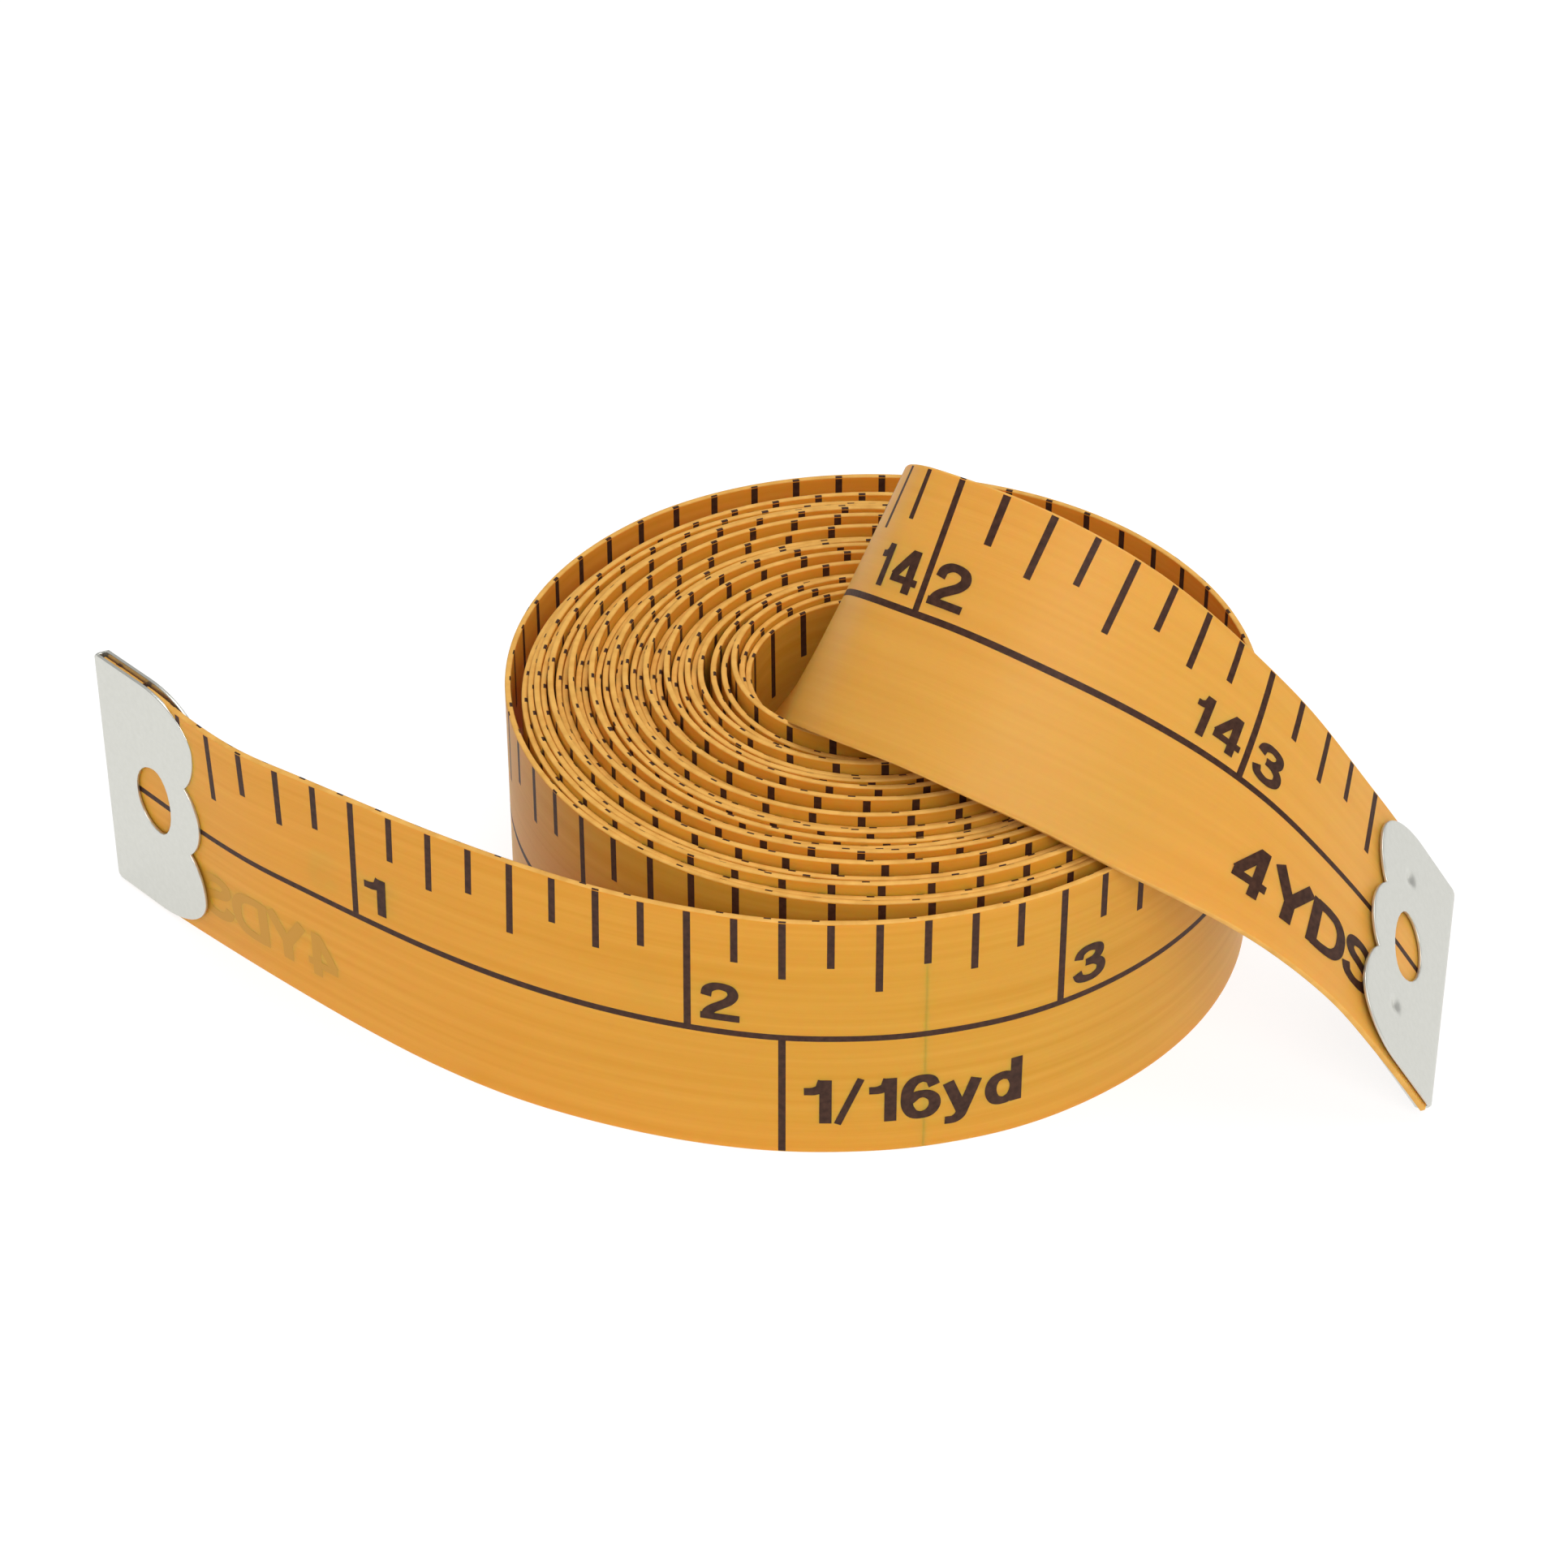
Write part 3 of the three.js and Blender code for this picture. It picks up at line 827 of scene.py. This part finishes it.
def leaf_edge():
    """The free edge of a leaf laid flat, from its lower side to its upper side, in mm."""
    middle_lobe = (clip_half_width + notch_half_spacing) / 2
    lobe_depth = clip_length - clip_side
    fall = math.acos(1 - notch_depth / lobe_depth)
    reach = (middle_lobe - notch_half_spacing) / math.sin(fall)
    shoulder = lobe_shoulder - clip_side
    points = []
    for turn in np.linspace(-math.pi / 2, 0, lobe_side_points):
        side = (clip_half_width - middle_lobe) * math.sin(turn) - middle_lobe
        points.append((shoulder + (lobe_depth - shoulder) * math.cos(turn), side))
    for turn in np.linspace(0, fall, lobe_tip_points)[1:]:
        points.append((lobe_depth * math.cos(turn), -middle_lobe + reach * math.sin(turn)))
    upper_lobe = [(x, -y) for x, y in points[::-1]]
    radius = (notch_half_spacing ** 2 + notch_depth ** 2) / (2 * notch_depth)
    sweep = math.asin(notch_half_spacing / radius)
    for turn in np.linspace(-sweep, sweep, middle_lobe_points)[1:-1]:
        points.append((lobe_depth - radius + radius * math.cos(turn), radius * math.sin(turn)))
    return [(x + clip_side, y) for x, y in points + upper_lobe]


def clip_blank():
    """The whole blank laid flat: both leaves, as outline and windows, along X from the fold."""
    shift = fold_run - fold_outside
    half = [(x + shift, y) for x, y in leaf_edge()]
    corner = []
    for turn in np.linspace(0, math.pi / 2, corner_points)[1:]:
        side = clip_half_width - fold_corner_inset * (1 - math.sin(turn))
        corner.append((fold_corner * math.sin(turn), side))
    right = [(x, -y) for x, y in corner] + half + [(x, y) for x, y in corner[::-1]]
    left = [(-x, -y) for x, y in right]
    windows = []
    middle = window_start + window_belly + shift
    for side in (1, -1):
        window = []
        for turn in np.linspace(math.pi / 2, 3 * math.pi / 2, belly_points):
            across = window_half_width * math.sin(turn)
            window.append((middle + window_belly * math.cos(turn), across))
        for turn in np.linspace(-math.pi / 2, math.pi / 2, crown_points)[1:-1]:
            across = window_half_width * math.sin(turn)
            window.append((middle + window_crown * math.cos(turn), across))
        windows.append([(side * x, y) for x, y in window])
    return [right + left] + windows


# The blank's mesh is cut into small cells before it is folded, most finely round its dents.
cell_size = 0.5
fold_cuts = 13
dent_cell = 0.17
dent_reach = 0.85
dent_depth = 0.22
dent_spread = 0.47
weld_distance = 1e-4
sharp_from = 50


def folded_clip(name, dents):
    """The clip at the origin: fold at X = 0, leaves towards +X, its width along Y."""
    curve = bpy.data.curves.new(name, "CURVE")
    curve.dimensions = "2D"
    curve.fill_mode = "BOTH"
    curve.extrude = sheet_thickness / 2 - edge_bevel
    curve.bevel_depth = edge_bevel
    curve.bevel_resolution = 2
    curve.offset = -edge_bevel
    for loop in clip_blank():
        spline = curve.splines.new("POLY")
        spline.points.add(len(loop) - 1)
        for point, (x, y) in zip(spline.points, loop):
            point.co = (x, y, 0, 1)
        spline.use_cyclic_u = True
    blank = bpy.data.objects.new(name, curve)
    bpy.context.collection.objects.link(blank)
    graph = bpy.context.evaluated_depsgraph_get()
    graph.update()
    mesh = bpy.data.meshes.new_from_object(blank.evaluated_get(graph))
    bpy.data.objects.remove(blank)
    bpy.data.curves.remove(curve)
    shape = bmesh.new()
    shape.from_mesh(mesh)
    bmesh.ops.remove_doubles(shape, verts=shape.verts, dist=weld_distance)
    cuts = [((x, 0, 0), (1, 0, 0)) for x in np.arange(-clip_run, clip_run, cell_size)]
    cuts += [((x, 0, 0), (1, 0, 0)) for x in np.linspace(-fold_run, fold_run, fold_cuts)]
    rows = np.arange(-clip_half_width, clip_half_width, cell_size)
    cuts += [((0, y, 0), (0, 1, 0)) for y in rows]
    near = np.arange(-dent_reach, dent_reach + dent_cell / 2, dent_cell)
    for dent_x, dent_y in dents:
        cuts += [((dent_x + x, 0, 0), (1, 0, 0)) for x in near]
        cuts += [((0, dent_y + y, 0), (0, 1, 0)) for y in near]
    for place, normal in cuts:
        everything = shape.verts[:] + shape.edges[:] + shape.faces[:]
        bmesh.ops.bisect_plane(shape, geom=everything, plane_co=place, plane_no=normal)
    for vert in shape.verts:
        x, y, z = vert.co
        for dent_x, dent_y in dents:
            off_dent = math.hypot(x - dent_x, y - dent_y)
            z -= dent_depth * math.exp(-(off_dent / dent_spread) ** 2)
        side = 1 if x > 0 else -1
        if abs(x) < fold_run:
            turn = x / fold_radius
            reach = fold_radius + z
            vert.co = (fold_outside - reach * math.cos(turn), y, reach * math.sin(turn))
        else:
            vert.co = (abs(x) - fold_run + fold_outside, y, side * (fold_radius + z))
    shape.to_mesh(mesh)
    shape.free()
    mesh.polygons.foreach_set("use_smooth", np.ones(len(mesh.polygons), bool))
    mesh.set_sharp_from_angle(angle=math.radians(sharp_from))
    mesh.materials.clear()
    mesh.update()
    piece = bpy.data.objects.new(name, mesh)
    bpy.context.collection.objects.link(piece)
    return piece


def place_clip(piece, end, into):
    """Sets a clip on the band's end: its leaves run from the end into the band."""
    middle, along, across, _ = band_frames(np.array([end]))
    back = along[0] * into
    side = across[0]
    through = np.cross(back, side)
    basis = np.stack([back, side, through])
    points = np.zeros(len(piece.data.vertices) * 3)
    piece.data.vertices.foreach_get("co", points)
    placed = points.reshape(-1, 3) @ basis + middle[0] + clip_shift * side
    piece.data.vertices.foreach_set("co", (placed * mm).ravel())
    piece.data.update()


plating_deep = (0.62, 0.62, 0.57)
plating_light = (0.65, 0.65, 0.6)
plated, nodes, links, shader = new_material("plated_steel", Metallic=0.9, IOR=1.6, Roughness=0.36)
place = nodes.new("ShaderNodeTexCoord")
grain = nodes.new("ShaderNodeTexNoise")
grain.inputs["Scale"].default_value = 2600
grain.inputs["Detail"].default_value = 4
links.new(place.outputs["Object"], grain.inputs["Vector"])
tinted(nodes, links, grain, shader, plating_deep, plating_light)
raised(nodes, links, grain, shader, height=0.004, strength=0.3)

outer_clip = folded_clip("outer_clip", dents=[])
place_clip(outer_clip, 0, 1)
outer_clip.data.materials.append(plated)
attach(outer_clip, "outer_end")
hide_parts("outer_end_clip")

# The clip of the inner end: the same blank, folded the same way. The press has left two small
# dents in the leaf that shows, one on each side of its window.
dent_from_fold = 6.6
dent_aside = 5.6
dents = [(-dent_from_fold, dent_aside), (-dent_from_fold, -dent_aside)]
inner_clip = folded_clip("inner_clip", dents)
place_clip(inner_clip, inner_fold, -1)
inner_clip.data.materials.append(plated)
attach(inner_clip, "inner_end")
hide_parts("inner_end_clip")

# The table: a plain white sheet under the tape, and soft light from all round, most of it from
# above and from the front.
floor_reach = 3
floor_corners = [
    (-floor_reach, -floor_reach, 0), (floor_reach, -floor_reach, 0),
    (floor_reach, floor_reach, 0), (-floor_reach, floor_reach, 0),
]
floor_mesh = bpy.data.meshes.new("floor")
floor_mesh.from_pydata(floor_corners, [], [(0, 1, 2, 3)])
floor = bpy.data.objects.new("floor", floor_mesh)
bpy.context.collection.objects.link(floor)
paper, nodes, links, shader = new_material(
    "paper", Roughness=0.9, Base_Color=(0.25, 0.25, 0.25, 1),
    Emission_Color=(1, 1, 1, 1), Emission_Strength=0.82,
)
floor_mesh.materials.append(paper)

world = bpy.data.worlds.new("soft_light")
bpy.context.scene.world = world
world.use_nodes = True
world.node_tree.nodes["Background"].inputs["Color"].default_value = (1, 1, 1, 1)
world.node_tree.nodes["Background"].inputs["Strength"].default_value = 0.45


def soft_lamp(name, place, aim, size, power):
    lamp = bpy.data.lights.new(name, "AREA")
    lamp.shape = "DISK"
    lamp.size = size
    lamp.energy = power
    holder = bpy.data.objects.new(name, lamp)
    bpy.context.collection.objects.link(holder)
    holder.location = place
    holder.rotation_euler = (Vector(aim) - Vector(place)).to_track_quat("-Z", "Y").to_euler()


soft_lamp("front_lamp", place=(0.1, -0.6, 0.55), aim=(0, 0, 0.01), size=0.5, power=3.05)
soft_lamp("top_lamp", place=(0.1, 0.1, 0.8), aim=(0, 0, 0), size=0.6, power=2.6)

# The camera looks down at the tape from the front, from a place given from the coil's middle.
camera_from_coil = [-6.71, -244.48, 188.69]
camera_tilt = 53.82
camera_data = bpy.data.cameras.new("camera")
camera_data.sensor_width = 36
camera_data.lens = 99.93
camera_data.clip_start = 0.01
camera = bpy.data.objects.new("camera", camera_data)
bpy.context.collection.objects.link(camera)
camera.location = (coil_middle + camera_from_coil) * mm
camera.rotation_euler = (math.radians(camera_tilt), 0, 0)
bpy.context.scene.camera = camera
bpy.context.scene.view_settings.view_transform = "Standard"
